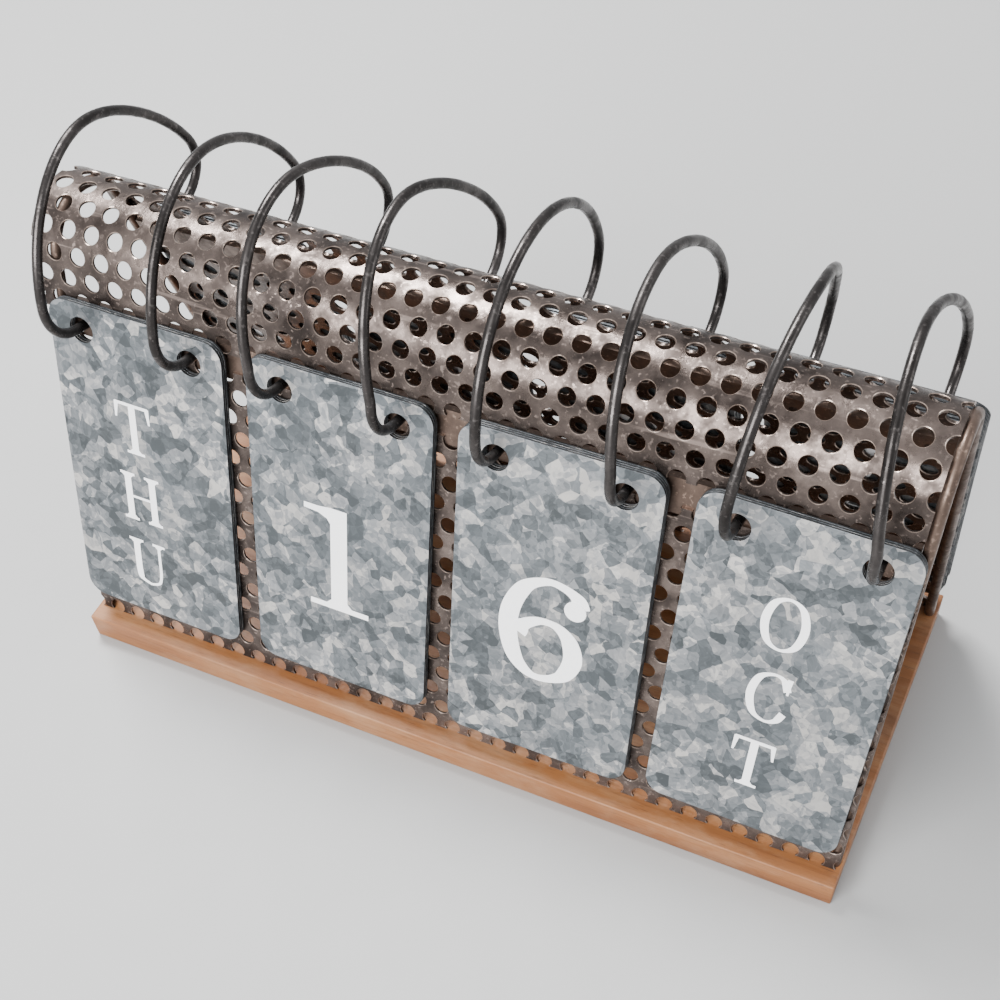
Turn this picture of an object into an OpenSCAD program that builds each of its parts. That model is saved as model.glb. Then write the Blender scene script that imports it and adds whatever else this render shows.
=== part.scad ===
// Flip desk calendar: four stacks of hanging cards on wire rings, carried by
// a perforated steel hood that stands on a wooden base.
//
// Millimetres, +Z up. X runs along the base, and -Y is the side that is read.
// The origin is the centre of the base's underside.

/* [Base] */
// Length of the wooden base along X
base_length = 314; // [200:1:500]
// Depth of the wooden base along Y
base_depth = 140; // [80:1:220]
// Thickness of the wooden base
base_thickness = 12; // [6:0.5:30]

/* [Side frame] */
// Angle that each side leans in from the vertical
lean = 16; // [8:1:25]
// Distance from the middle of the base to the outside foot of a side sheet
foot_offset = 63; // [45:1:90]
// Thickness of the perforated steel sheet
sheet_thickness = 1.2; // [0.8:0.1:2]
// Length of the lower panels along X
sheet_length = 311; // [200:1:500]
// Where the hood's left end is along X
hood_left = -161.9; // [-260:0.1:-100]
// Length of the hood along X
hood_length = 314.3; // [200:0.1:520]
// How much further up the hood's front edge is cut at its right end than at its left
hood_skew = 5; // [0:0.5:8]
// Slope distance from the foot to the top edge of a lower panel
panel_top = 127.3; // [90:0.1:180]
// Slope distance from the foot to the bottom edge of the hood
hood_bottom = 132.6; // [95:0.1:190]
// Slope distance from the foot to where the hood starts to curve
hood_tangent = 150; // [110:1:200]
// Outside radius of the hood's rounded top
hood_radius = 22.5; // [15:0.5:35]

/* [Perforation] */
// Distance between hole centres
hole_pitch = 9.525; // [6:0.005:14]
// Diameter of each perforation
hole_diameter = 6.1; // [3:0.1:9]
// Number of hole rows in a lower panel
panel_rows = 16; // [4:1:20]
// Slope distance from the foot to a lower panel's top row
panel_top_row = 126.1; // [80:0.1:180]
// Number of hole rows in the hood on each side of its middle row
hood_side_rows = 5; // [2:1:7]

/* [Rails and hoops] */
// Width of the flat bar that holds the ring ends
rail_width = 12.7; // [8:0.1:20]
// Thickness of the flat bar
rail_thickness = 3.2; // [2:0.1:5]
// Slope distance from the foot to the wires' holes in the bar
wire_station = 130; // [95:0.1:190]
// Diameter of the rod in the two end hoops
hoop_diameter = 4; // [2.5:0.1:6]
// Distance from the middle to each end hoop
hoop_offset = 154; // [100:0.5:250]
// Depth of each hoop leg in the base, measured down the slope
hoop_plug = 8; // [4:0.5:11]

/* [Rings] */
// Diameter of the ring wire
ring_wire = 3.5; // [2:0.1:5]
// Radius of the large arc, to the wire's centre
ring_radius = 49.8; // [35:0.1:70]
// Radius of the two small bends, to the wire's centre
hook_radius = 15; // [8:0.5:20]
// How far the front wire end stands out of the panel before its bend
front_stub = 6; // [3:0.5:15]
// How far the back wire end stands out of the panel before its bend
back_stub = 15; // [3:0.5:25]

/* [Cards] */
// Width of a card
card_width = 70.6; // [40:0.1:100]
// Height of a card
card_height = 128.4; // [60:0.1:160]
// Thickness of a card
card_thickness = 0.8; // [0.4:0.1:1.2]
// Radius of a card's corners
card_corner = 7; // [2:0.5:15]
// Diameter of a card's two ring holes
card_hole = 9.5; // [6:0.1:14]
// Distance from a card's side edge to the centre of its ring hole
card_hole_inset = 13.2; // [8:0.1:20]
// Distance from a card's top edge to the centre of its ring holes
card_hole_drop = 9.9; // [7:0.1:20]
// Distance between one card's middle plane and the next one's
card_pitch = 1.15; // [0.9:0.05:2]
// Distance between the middles of neighbouring stacks
stack_pitch = 80; // [72:0.5:110]

/* [Hidden] */
$fn = 48;

FRONT = 1;
BACK = -1;
slack = 0.05;              // clearance around a rod in its hole
cut = 1;                   // how far a cutting body runs past a face
hair = 0.02;               // angle left off each bend, so that every length of wire is its own solid
row_pitch = hole_pitch * sin(60);
hood_right = hood_left + hood_length;
crown_z = base_thickness + hood_tangent * cos(lean) - hood_radius * sin(lean);
sheet_middle = hood_radius - sheet_thickness / 2;
hoop_radius = hood_radius - sheet_thickness - hoop_diameter / 2;
rail_centre = (panel_top + hood_bottom) / 2 + 0.4;
first_layer = 1;           // innermost card's middle plane, out from the sheet
card_lift = 1.5;           // how far a hanging card's hole centre is below the wire
hole_station = wire_station - card_lift;
card_top = hole_station + card_hole_drop;
ring_spread = card_width / 2 - card_hole_inset;

// A point on the front slope, s up from the foot and n out from the sheet.
function slope_point(s, n) = [
    -foot_offset + s * sin(lean) - n * cos(lean),
    base_thickness + s * cos(lean) + n * sin(lean)
];

// The same point on the back slope.
function back_point(s, n) = [-slope_point(s, n)[0], slope_point(s, n)[1]];

function heading(from, to) = atan2(to[1] - from[1], to[0] - from[0]);

// Middle of stack 0, 1, 2 or 3 along X.
function stack_x(stack) = (stack - 1.5) * stack_pitch;

front_hook = slope_point(wire_station + hook_radius, front_stub);
back_hook = back_point(wire_station + hook_radius, back_stub);
hook_gap = norm(back_hook - front_hook);
hook_rise = sqrt(pow(ring_radius - hook_radius, 2) - pow(hook_gap / 2, 2));
hook_heading = heading(front_hook, back_hook);
ring_centre = (front_hook + back_hook) / 2
    + hook_rise * [sin(hook_heading), -cos(hook_heading)];

steel = [0.36, 0.31, 0.29];
rod = [0.42, 0.32, 0.25];
wire = [0.55, 0.56, 0.58];
zinc = [0.58, 0.63, 0.68];
orange_wood = [0.72, 0.38, 0.16];

// Turns what is drawn for the front side round to the back.
module on_side(side) {
    rotate([0, 0, side == FRONT ? 0 : 180])
        children();
}

// Local axes on one slope: +Z up the slope, -Y out of the sheet.
module on_slope(side) {
    on_side(side)
        translate([0, -foot_offset, base_thickness])
            rotate([-lean, 0, 0])
                children();
}

// A flat profile drawn in X and slope distance, given a thickness inwards.
module slope_plate(side, inset, thickness) {
    on_slope(side)
        translate([0, inset + thickness, 0])
            rotate([90, 0, 0])
                linear_extrude(thickness)
                    children();
}

// Part of a ring about a line along X, from angle a to angle b above +Y.
module arc(x, centre, radius, a, b) {
    translate([x, centre[0], centre[1]])
        rotate([90, 0, 90])
            rotate([0, 0, a])
                rotate_extrude(angle = b - a, $fn = 96)
                    translate([radius, 0])
                        children();
}

// First and last hole of a row, counted in pitches from the middle of the base.
// Every other row is moved along by half a pitch.
function panel_span(row) = row % 2 == 1 ? [-16.5, 16.5] : [-16, 16];
function hood_span(row) = row % 2 == 0 ? [-16.5, 15.5] : [-17, 16];

// One row of perforations in a flat sheet.
module hole_row(station, span) {
    for (i = [span[0] : span[1]])
        translate([i * hole_pitch, station])
            circle(d = hole_diameter, $fn = 24);
}

module panel_profile() {
    foot = 0.4;
    difference() {
        translate([-sheet_length / 2, foot])
            square([sheet_length, panel_top - foot]);
        for (row = [0 : panel_rows - 1])
            hole_row(panel_top_row - row * row_pitch, panel_span(row));
    }
}

module perforated_panel(side) {
    color(steel)
        slope_plate(side, 0, sheet_thickness)
            panel_profile();
}

// Slope station of the hood row that is k rows from the middle.
function row_station(k) =
    hood_tangent + sheet_middle * (90 - lean) * PI / 180 - k * row_pitch;

// One flat flank of the hood with its share of the rows. Local X is reversed on the back.
module hood_flank(side) {
    skew = side == FRONT ? hood_skew : 0;
    slope_plate(side, 0, sheet_thickness)
        scale([side, 1])
            difference() {
                polygon([
                    [hood_left, hood_bottom],
                    [hood_right, hood_bottom + skew],
                    [hood_right, hood_tangent],
                    [hood_left, hood_tangent]
                ]);
                for (k = [4 : hood_side_rows])
                    hole_row(row_station(k), hood_span(k));
            }
}

// The rounded top of the hood. Its holes point at the line it is bent about.
module hood_crown() {
    difference() {
        arc_sheet();
        for (k = [-3 : 3])
            crown_holes(k);
    }
}

module arc_sheet() {
    arc(hood_left, [0, crown_z], 0, lean, 180 - lean)
        translate([hood_radius - sheet_thickness, 0])
            square([sheet_thickness, hood_length]);
}

module crown_holes(k) {
    tilt = k * row_pitch / sheet_middle * 180 / PI;
    span = hood_span(abs(k));
    for (i = [span[0] : span[1]])
        translate([i * hole_pitch, 0, crown_z])
            rotate([tilt, 0, 0])
                translate([0, 0, hoop_radius])
                    cylinder(d = hole_diameter, h = hood_radius - hoop_radius + cut, $fn = 24);
}

// Flat bar behind the panel and the hood, drilled for the eight wire ends.
module rail(side) {
    color(rod)
        slope_plate(side, sheet_thickness, rail_thickness)
            difference() {
                translate([0, rail_centre])
                    square([2 * (hoop_offset - hoop_diameter / 2) - 0.2, rail_width], center = true);
                for (stack = [0 : 3])
                    for (hand = [-1, 1])
                        translate([stack_x(stack) + hand * ring_spread, wire_station])
                            circle(d = ring_wire + 2 * slack);
            }
}

// A straight rod of the given diameter along one slope, between two stations.
module slope_rod(side, x, from, to, diameter) {
    on_slope(side)
        translate([side * x, sheet_thickness + hoop_diameter / 2, from])
            cylinder(d = diameter, h = to - from);
}

// End hoop: one rod bent over the top, with both legs set in the base.
module end_hoop(x) {
    color(rod) {
        for (side = [FRONT, BACK])
            slope_rod(side, x, -hoop_plug, hood_tangent, hoop_diameter);
        arc(x, [0, crown_z], hoop_radius, lean, 180 - lean)
            circle(d = hoop_diameter);
    }
}

// One ring: two straight ends in the rails, two small bends and a large arc.
module ring(index) {
    stack = floor((index - 1) / 2);
    x = stack_x(stack) + (index % 2 == 1 ? -1 : 1) * ring_spread;
    front_join = heading(ring_centre, front_hook);
    back_join = heading(ring_centre, back_hook);
    color(wire) {
        ring_end(FRONT, x, front_stub);
        arc(x, front_hook, hook_radius, front_join + hair, 270 - lean - hair)
            circle(d = ring_wire);
        arc(x, ring_centre, ring_radius, back_join + hair, front_join - hair)
            circle(d = ring_wire);
        arc(x, back_hook, hook_radius, lean - 90 + hair, back_join - hair)
            circle(d = ring_wire);
        ring_end(BACK, x, back_stub);
    }
}

// A wire end that runs square to the slope, from inside the bar to the bend.
module ring_end(side, x, stub) {
    on_slope(side)
        translate([side * x, sheet_thickness + rail_thickness, wire_station])
            rotate([90, 0, 0])
                cylinder(d = ring_wire, h = stub + sheet_thickness + rail_thickness);
}

module card_outline() {
    difference() {
        square([card_width, card_height]);
        for (corner = [[0, 0], [1, 0], [1, 1], [0, 1]])
            card_corner_waste(corner);
        for (x = [card_hole_inset, card_width - card_hole_inset])
            translate([x, card_height - card_hole_drop])
                circle(d = card_hole);
    }
}

// What is taken off at one corner to leave it round.
module card_corner_waste(corner) {
    across = corner[0] == 0 ? 1 : -1;
    up = corner[1] == 0 ? 1 : -1;
    translate([corner[0] * card_width, corner[1] * card_height])
        scale([across, up])
            difference() {
                translate([-cut, -cut])
                    square(card_corner + cut);
                translate([card_corner, card_corner])
                    circle(r = card_corner);
            }
}

// A card hanging in one stack. Layer 0 lies next to the sheet.
module card(stack, side, layer) {
    out = first_layer + layer * card_pitch;
    color(zinc)
        slope_plate(side, -out - card_thickness / 2, card_thickness)
            translate([side * stack_x(stack) - card_width / 2, card_top - card_height])
                card_outline();
}

module wood_base() {
    color(orange_wood)
        difference() {
            translate([-base_length / 2, -base_depth / 2, 0])
                cube([base_length, base_depth, base_thickness]);
            for (side = [FRONT, BACK])
                for (x = [-hoop_offset, hoop_offset])
                    slope_rod(side, x, -hoop_plug - slack, 10, hoop_diameter + 2 * slack);
        }
}

module arch_cover() {
    color(steel) {
        hood_crown();
        hood_flank(FRONT);
        hood_flank(BACK);
    }
}

module front_panel() { perforated_panel(FRONT); }
module back_panel() { perforated_panel(BACK); }
module front_rail() { rail(FRONT); }
module back_rail() { rail(BACK); }
module end_hoop_left() { end_hoop(-hoop_offset); }
module end_hoop_right() { end_hoop(hoop_offset); }

module ring_1() { ring(1); }
module ring_2() { ring(2); }
module ring_3() { ring(3); }
module ring_4() { ring(4); }
module ring_5() { ring(5); }
module ring_6() { ring(6); }
module ring_7() { ring(7); }
module ring_8() { ring(8); }

module weekday_thu() { card(0, FRONT, 2); }
module weekday_fri() { card(0, FRONT, 1); }
module weekday_sat() { card(0, FRONT, 0); }
module weekday_sun() { card(0, BACK, 0); }
module weekday_mon() { card(0, BACK, 1); }
module weekday_tue() { card(0, BACK, 2); }
module weekday_wed() { card(0, BACK, 3); }

module tens_0() { card(1, BACK, 0); }
module tens_1() { card(1, FRONT, 2); }
module tens_2() { card(1, FRONT, 1); }
module tens_3() { card(1, FRONT, 0); }

module units_0() { card(2, BACK, 0); }
module units_1() { card(2, BACK, 1); }
module units_2() { card(2, BACK, 2); }
module units_3() { card(2, BACK, 3); }
module units_4() { card(2, BACK, 4); }
module units_5() { card(2, BACK, 5); }
module units_6() { card(2, FRONT, 3); }
module units_7() { card(2, FRONT, 2); }
module units_8() { card(2, FRONT, 1); }
module units_9() { card(2, FRONT, 0); }

module month_jan() { card(3, BACK, 0); }
module month_feb() { card(3, BACK, 1); }
module month_mar() { card(3, BACK, 2); }
module month_apr() { card(3, BACK, 3); }
module month_may() { card(3, BACK, 4); }
module month_jun() { card(3, BACK, 5); }
module month_jul() { card(3, BACK, 6); }
module month_aug() { card(3, BACK, 7); }
module month_sep() { card(3, BACK, 8); }
module month_oct() { card(3, FRONT, 2); }
module month_nov() { card(3, FRONT, 1); }
module month_dec() { card(3, FRONT, 0); }

wood_base();
arch_cover();
front_panel();
back_panel();
front_rail();
back_rail();
end_hoop_left();
end_hoop_right();
ring_1();
ring_2();
ring_3();
ring_4();
ring_5();
ring_6();
ring_7();
ring_8();
weekday_thu();
weekday_fri();
weekday_sat();
weekday_sun();
weekday_mon();
weekday_tue();
weekday_wed();
tens_0();
tens_1();
tens_2();
tens_3();
units_0();
units_1();
units_2();
units_3();
units_4();
units_5();
units_6();
units_7();
units_8();
units_9();
month_jan();
month_feb();
month_mar();
month_apr();
month_may();
month_jun();
month_jul();
month_aug();
month_sep();
month_oct();
month_nov();
month_dec();
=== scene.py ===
"""Visual model of a flip desk calendar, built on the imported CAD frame.

Metres, in the CAD's frame: X along the base, -Y the side that is read, +Z up.
"""
import math
import random

import bmesh
import bpy
from mathutils import Matrix, Vector


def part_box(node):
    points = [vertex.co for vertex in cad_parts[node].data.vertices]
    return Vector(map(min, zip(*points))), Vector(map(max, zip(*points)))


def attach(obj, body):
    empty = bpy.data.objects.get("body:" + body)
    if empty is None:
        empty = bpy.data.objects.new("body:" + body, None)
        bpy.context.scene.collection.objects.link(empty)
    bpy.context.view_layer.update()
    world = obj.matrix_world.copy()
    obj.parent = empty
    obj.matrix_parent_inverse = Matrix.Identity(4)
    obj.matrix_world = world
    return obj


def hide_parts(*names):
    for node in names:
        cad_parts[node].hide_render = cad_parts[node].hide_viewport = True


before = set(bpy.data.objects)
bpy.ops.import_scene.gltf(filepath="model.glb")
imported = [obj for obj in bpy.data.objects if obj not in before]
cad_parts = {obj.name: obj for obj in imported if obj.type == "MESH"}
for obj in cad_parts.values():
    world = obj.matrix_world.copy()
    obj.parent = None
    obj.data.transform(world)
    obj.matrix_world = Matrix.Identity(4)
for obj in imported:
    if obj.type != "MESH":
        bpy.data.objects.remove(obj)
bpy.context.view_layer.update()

MM = 0.001
random.seed(7)

# The CAD's dimensions.
LEAN = math.radians(16)
FOOT_OFFSET = 63 * MM
BASE_THICKNESS = 12 * MM
PANEL_LENGTH = 311 * MM
SHEET_THICKNESS = 1.2 * MM
PANEL_FOOT = 0.4 * MM
PANEL_TOP = 127.3 * MM
PANEL_TOP_ROW = 126.1 * MM
PANEL_ROWS = 16
HOOD_LEFT = -161.9 * MM
HOOD_LENGTH = 314.3 * MM
HOOD_SKEW = 5 * MM
HOOD_BOTTOM = 132.6 * MM
HOOD_TANGENT = 150 * MM
HOOD_RADIUS = 22.5 * MM
HOOD_SIDE_ROWS = 5
HOLE_PITCH = 9.525 * MM
HOLE_RADIUS = 3.05 * MM
RAIL_THICKNESS = 3.2 * MM
WIRE_STATION = 130 * MM
HOOP_DIAMETER = 4 * MM
HOOP_OFFSET = 154 * MM
HOOP_PLUG = 8 * MM
RING_WIRE = 3.5 * MM
RING_RADIUS = 49.8 * MM
HOOK_RADIUS = 15 * MM
FRONT_STUB = 6 * MM
BACK_STUB = 15 * MM
CARD_WIDTH = 70.6 * MM
CARD_HEIGHT = 128.4 * MM
CARD_THICKNESS = 0.8 * MM
CARD_CORNER = 7 * MM
CARD_HOLE = 9.5 * MM
CARD_HOLE_INSET = 13.2 * MM
CARD_HOLE_DROP = 9.9 * MM
CARD_PITCH = 1.15 * MM
FIRST_LAYER = 1 * MM
HOLE_STATION = 128.5 * MM
STACK_PITCH = 80 * MM

ROW_PITCH = HOLE_PITCH * math.sin(math.radians(60))
CROWN_Z = BASE_THICKNESS + HOOD_TANGENT * math.cos(LEAN) - HOOD_RADIUS * math.sin(LEAN)
SHEET_MIDDLE = HOOD_RADIUS - SHEET_THICKNESS / 2
CROWN_HALF_ARC = SHEET_MIDDLE * (math.pi / 2 - LEAN)
CARD_TOP = HOLE_STATION + CARD_HOLE_DROP
RING_SPREAD = CARD_WIDTH / 2 - CARD_HOLE_INSET

FRONT = 1
BACK = -1
FRAME_BODY = "frame"

# Each stack: node prefix, cards on the front and on the back, innermost first.
STACKS = (
    ("weekday", ("sat", "fri", "thu"), ("sun", "mon", "tue", "wed")),
    ("tens", ("3", "2", "1"), ("0",)),
    ("units", ("9", "8", "7", "6"), ("0", "1", "2", "3", "4", "5")),
    (
        "month",
        ("dec", "nov", "oct"),
        ("jan", "feb", "mar", "apr", "may", "jun", "jul", "aug", "sep"),
    ),
)


def slope_point(x, station, out, side=FRONT):
    """A point on one slope: station is up from the foot, out is away from the sheet."""
    y = -FOOT_OFFSET + station * math.sin(LEAN) - out * math.cos(LEAN)
    z = BASE_THICKNESS + station * math.cos(LEAN) + out * math.sin(LEAN)
    return Vector((x, side * y, z))


def link(name, data, body, replaces=(), place=None):
    """Puts a piece in the scene, in its place and riding on a CAD body."""
    piece = bpy.data.objects.new(name, data)
    bpy.context.scene.collection.objects.link(piece)
    if place is not None:
        piece.matrix_world = place
    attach(piece, body)
    if replaces:
        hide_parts(*replaces)
    return piece


def smooth(mesh, sharp_degrees):
    """Smooth shading that breaks at edges sharper than the given angle."""
    mesh.shade_smooth()
    mesh.set_sharp_from_angle(angle=math.radians(sharp_degrees))


# --------------------------------------------------------------------------
# Materials
# --------------------------------------------------------------------------


class Shader:
    """A small helper for building one procedural material."""

    def __init__(self, name, metallic=0.0, specular=0.5):
        self.material = bpy.data.materials.new(name)
        self.material.use_nodes = True
        self.tree = self.material.node_tree
        self.surface = self.tree.nodes["Principled BSDF"]
        self.surface.inputs["Metallic"].default_value = metallic
        self.surface.inputs["Specular IOR Level"].default_value = specular
        self.place = self.tree.nodes.new("ShaderNodeTexCoord").outputs["Object"]

    def node(self, kind, sockets=(), **settings):
        """Adds a node. Sockets are (name or index, value or output) pairs."""
        made = self.tree.nodes.new(kind)
        for key, value in settings.items():
            setattr(made, key, value)
        for socket, value in sockets:
            self.feed(made.inputs[socket], value)
        return made

    def feed(self, socket, value):
        """Links an output to a socket, or sets the socket's own value."""
        if isinstance(value, bpy.types.NodeSocket):
            self.tree.links.new(value, socket)
        else:
            socket.default_value = value

    def vector(self, operation, first, second):
        """A vector sum, difference or product."""
        sockets = ((0, first), (1, second))
        return self.node("ShaderNodeVectorMath", sockets, operation=operation).outputs[0]

    def scaled(self, vector, factor):
        """A vector times one number."""
        made = self.node("ShaderNodeVectorMath", ((0, vector),), operation="SCALE")
        self.feed(made.inputs["Scale"], factor)
        return made.outputs[0]

    def stretched(self, scale):
        """The object's coordinates, scaled differently along each axis."""
        return self.node(
            "ShaderNodeMapping", (("Vector", self.place), ("Scale", scale))
        ).outputs[0]

    def noise(self, scale, detail=4.0, vector=None, output="Fac", roughness=0.5):
        """Fractal noise."""
        sockets = (
            ("Vector", vector or self.place),
            ("Scale", scale),
            ("Detail", detail),
            ("Roughness", roughness),
        )
        return self.node("ShaderNodeTexNoise", sockets).outputs[output]

    def cells(self, scale, vector, distance="EUCLIDEAN"):
        """A random colour for each cell of a Voronoi pattern."""
        sockets = (("Vector", vector), ("Scale", scale))
        made = self.node("ShaderNodeTexVoronoi", sockets, distance=distance)
        return made.outputs["Color"]

    def ramp(self, value, stops):
        """A colour ramp. Stops are (position, (r, g, b)) pairs."""
        made = self.node("ShaderNodeValToRGB", (("Fac", value),))
        elements = made.color_ramp.elements
        while len(elements) < len(stops):
            elements.new(1.0)
        for element, (position, colour) in zip(elements, stops):
            element.position = position
            element.color = (*colour, 1.0)
        return made.outputs["Color"]

    def grey_ramp(self, value, low, high):
        """A ramp from black to white between two positions."""
        return self.ramp(value, ((low, (0, 0, 0)), (high, (1, 1, 1))))

    def mix(self, factor, first, second, blend="MIX"):
        """Mixes two colours."""
        made = self.node("ShaderNodeMix", data_type="RGBA", blend_type=blend)
        for socket, value in ((0, factor), (6, first), (7, second)):
            self.feed(made.inputs[socket], value)
        return made.outputs[2]

    def span(self, value, low, high):
        """Maps 0..1 to low..high."""
        sockets = (("Value", value), ("To Min", low), ("To Max", high))
        return self.node("ShaderNodeMapRange", sockets).outputs[0]

    def bump(self, height, strength, distance):
        """Bump from a height."""
        sockets = (("Strength", strength), ("Distance", distance), ("Height", height))
        return self.node("ShaderNodeBump", sockets).outputs["Normal"]

    def finish(self, colour, roughness, normal=None):
        """Feeds the surface and hands back the material."""
        self.feed(self.surface.inputs["Base Color"], colour)
        self.feed(self.surface.inputs["Roughness"], roughness)
        if normal is not None:
            self.feed(self.surface.inputs["Normal"], normal)
        return self.material


def split(shader, colour):
    """The three channels of a colour."""
    return shader.node("ShaderNodeSeparateColor", (("Color", colour),)).outputs


LARGE_CRYSTALS = 95        # cells per metre
SMALL_CRYSTALS = 210
CHIPS = 430


def zinc_material():
    """Galvanized sheet: angular crystals, each with its own brightness and feathering."""
    shader = Shader("zinc", metallic=0.45)
    card = shader.node("ShaderNodeObjectInfo").outputs["Random"]
    place = shader.vector("ADD", shader.place, shader.scaled((0.7, 1.3, 0.4), card))
    wobble = shader.vector("SUBTRACT", shader.noise(180, 2.0, place, "Color"), (0.5, 0.5, 0.5))
    place = shader.vector("ADD", place, shader.scaled(wobble, 0.0022))
    large_cells = shader.cells(LARGE_CRYSTALS, place)
    small_cells = shader.cells(SMALL_CRYSTALS, place)
    large = split(shader, large_cells)
    small = split(shader, small_cells)
    chips = split(shader, shader.cells(CHIPS, place, "MANHATTAN"))

    # Each small crystal has its own direction of fine feathering.
    turned = shader.node(
        "ShaderNodeVectorRotate",
        (("Vector", place), ("Angle", shader.span(small[1], 0.0, 2 * math.pi))),
        rotation_type="Z_AXIS",
    ).outputs[0]
    drawn = shader.node(
        "ShaderNodeMapping", (("Vector", turned), ("Scale", (1.0, 0.14, 1.0)))
    ).outputs[0]
    feather = shader.noise(1100, 3.0, drawn)

    level = 0.0
    for channel, share in ((large[0], 0.22), (small[0], 0.40), (chips[0], 0.18), (feather, 0.20)):
        level = shader.node(
            "ShaderNodeMath", ((0, channel), (1, share), (2, level)), operation="MULTIPLY_ADD"
        ).outputs[0]
    tone = shader.ramp(
        level,
        (
            (0.24, (0.036, 0.042, 0.045)),
            (0.39, (0.080, 0.090, 0.097)),
            (0.50, (0.142, 0.153, 0.162)),
            (0.62, (0.235, 0.240, 0.247)),
            (0.78, (0.470, 0.450, 0.425)),
        ),
    )
    cloud = shader.grey_ramp(shader.noise(24, 3.0, place), 0.30, 0.75)
    tone = shader.mix(shader.span(cloud, 0.0, 0.30), tone, (0.104, 0.124, 0.140, 1.0))
    # Each crystal is tilted a little, so that it catches the light by itself.
    tilt = shader.vector("SUBTRACT", shader.mix(0.45, large_cells, small_cells), (0.5, 0.5, 0.5))
    normal = shader.node("ShaderNodeNewGeometry").outputs["Normal"]
    tilted = shader.node(
        "ShaderNodeVectorMath",
        ((0, shader.vector("ADD", normal, shader.scaled(tilt, 0.30))),),
        operation="NORMALIZE",
    ).outputs[0]
    return shader.finish(tone, shader.span(small[1], 0.34, 0.58), tilted)


def steel_material(name, dark, light, metallic, roughness, grain):
    """Patinated steel: clouds of two tones, worn flecks, fine mottling and scratches."""
    shader = Shader(name, metallic=metallic)
    clouds = shader.grey_ramp(shader.noise(46, 6.0, roughness=0.62), 0.36, 0.66)
    tone = shader.mix(clouds, (*dark, 1.0), (*light, 1.0))
    blotches = shader.grey_ramp(shader.noise(170, 5.0, roughness=0.6), 0.44, 0.64)
    tone = shader.mix(shader.span(blotches, 0.0, 0.55), tone, (*[c * 0.55 for c in dark], 1.0))
    flecks = shader.grey_ramp(shader.noise(640, 3.0), 0.60, 0.68)
    tone = shader.mix(shader.span(flecks, 0.0, 0.40), tone, (*[c * 2.2 for c in light], 1.0))
    scratch = shader.noise(grain, 3.0, shader.stretched((0.06, 1.0, 1.0)))
    marks = shader.grey_ramp(scratch, 0.66, 0.72)
    tone = shader.mix(shader.span(marks, 0.0, 0.5), tone, (*[c * 1.9 for c in light], 1.0))
    rough = shader.span(blotches, roughness - 0.08, roughness + 0.16)
    normal = shader.bump(shader.noise(900, 4.0), 0.22, 0.0002)
    return shader.finish(tone, rough, normal)


def wood_material():
    """Orange-brown stained wood with its grain along X."""
    shader = Shader("stained_wood")
    broad = shader.noise(1.0, 4.0, shader.stretched((7, 95, 60)))
    tone = shader.ramp(
        broad,
        (
            (0.28, (0.125, 0.040, 0.011)),
            (0.45, (0.190, 0.067, 0.018)),
            (0.60, (0.245, 0.094, 0.028)),
            (0.80, (0.310, 0.145, 0.054)),
        ),
    )
    fibres = shader.noise(1.0, 5.0, shader.stretched((30, 900, 700)), roughness=0.65)
    dark_fibres = shader.grey_ramp(fibres, 0.52, 0.72)
    tone = shader.mix(shader.span(dark_fibres, 0.0, 0.55), tone, (0.100, 0.035, 0.011, 1.0))
    pores = shader.grey_ramp(shader.noise(1.0, 2.0, shader.stretched((140, 2400, 1600))), 0.64, 0.70)
    tone = shader.mix(shader.span(pores, 0.0, 0.6), tone, (0.060, 0.021, 0.007, 1.0))
    worn = shader.noise(1.0, 6.0, shader.stretched((22, 60, 45)), roughness=0.7)
    patches = shader.grey_ramp(worn, 0.46, 0.66)
    tone = shader.mix(shader.span(patches, 0.0, 0.38), tone, (0.38, 0.23, 0.13, 1.0))
    rough = shader.span(fibres, 0.38, 0.62)
    normal = shader.bump(fibres, 0.35, 0.0003)
    return shader.finish(tone, rough, normal)


def paint_material():
    """White print, very slightly uneven."""
    shader = Shader("white_print")
    tone = shader.mix(
        shader.grey_ramp(shader.noise(700, 4.0), 0.3, 0.75),
        (0.94, 0.94, 0.95, 1.0),
        (0.98, 0.98, 0.98, 1.0),
    )
    return shader.finish(tone, shader.span(shader.noise(300), 0.42, 0.6))


ZINC = zinc_material()
CARD_EDGE = steel_material("card_edge", (0.022, 0.024, 0.027), (0.07, 0.075, 0.08), 0.7, 0.5, 300)
PATINA = steel_material("patina_steel", (0.034, 0.026, 0.023), (0.165, 0.130, 0.114), 0.85, 0.33, 260)
# A lighter copy of the patina steel: a painted highlight on the hole rims and on the sheet's cut
# edges.
EDGE_HIGHLIGHT = steel_material("painted_edge_highlight", (0.20, 0.150, 0.125), (0.50, 0.40, 0.34), 0.85, 0.32, 260)
BROWN = steel_material("brown_steel", (0.085, 0.058, 0.045), (0.17, 0.12, 0.095), 0.8, 0.40, 220)
WIRE = steel_material("ring_steel", (0.024, 0.021, 0.020), (0.072, 0.065, 0.063), 0.85, 0.33, 500)
WOOD = wood_material()
PRINT = paint_material()


# --------------------------------------------------------------------------
# Wooden base
# --------------------------------------------------------------------------


def build_base():
    """A plain board with its edges eased by hand sanding."""
    low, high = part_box("wood_base")
    size = high - low
    shape = bmesh.new()
    bmesh.ops.create_cube(shape, size=1.0)
    bmesh.ops.scale(shape, vec=size, verts=shape.verts)
    bmesh.ops.translate(shape, vec=(low + high) / 2, verts=shape.verts)
    bmesh.ops.bevel(
        shape, geom=shape.edges[:], offset=0.7 * MM, segments=3, profile=0.6, affect="EDGES"
    )
    mesh = bpy.data.meshes.new("wood_base_mesh")
    shape.to_mesh(mesh)
    shape.free()
    mesh.materials.append(WOOD)
    smooth(mesh, 40)
    link("wood_board", mesh, FRAME_BODY, ["wood_base"])


# --------------------------------------------------------------------------
# Perforated sheets
# --------------------------------------------------------------------------

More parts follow.
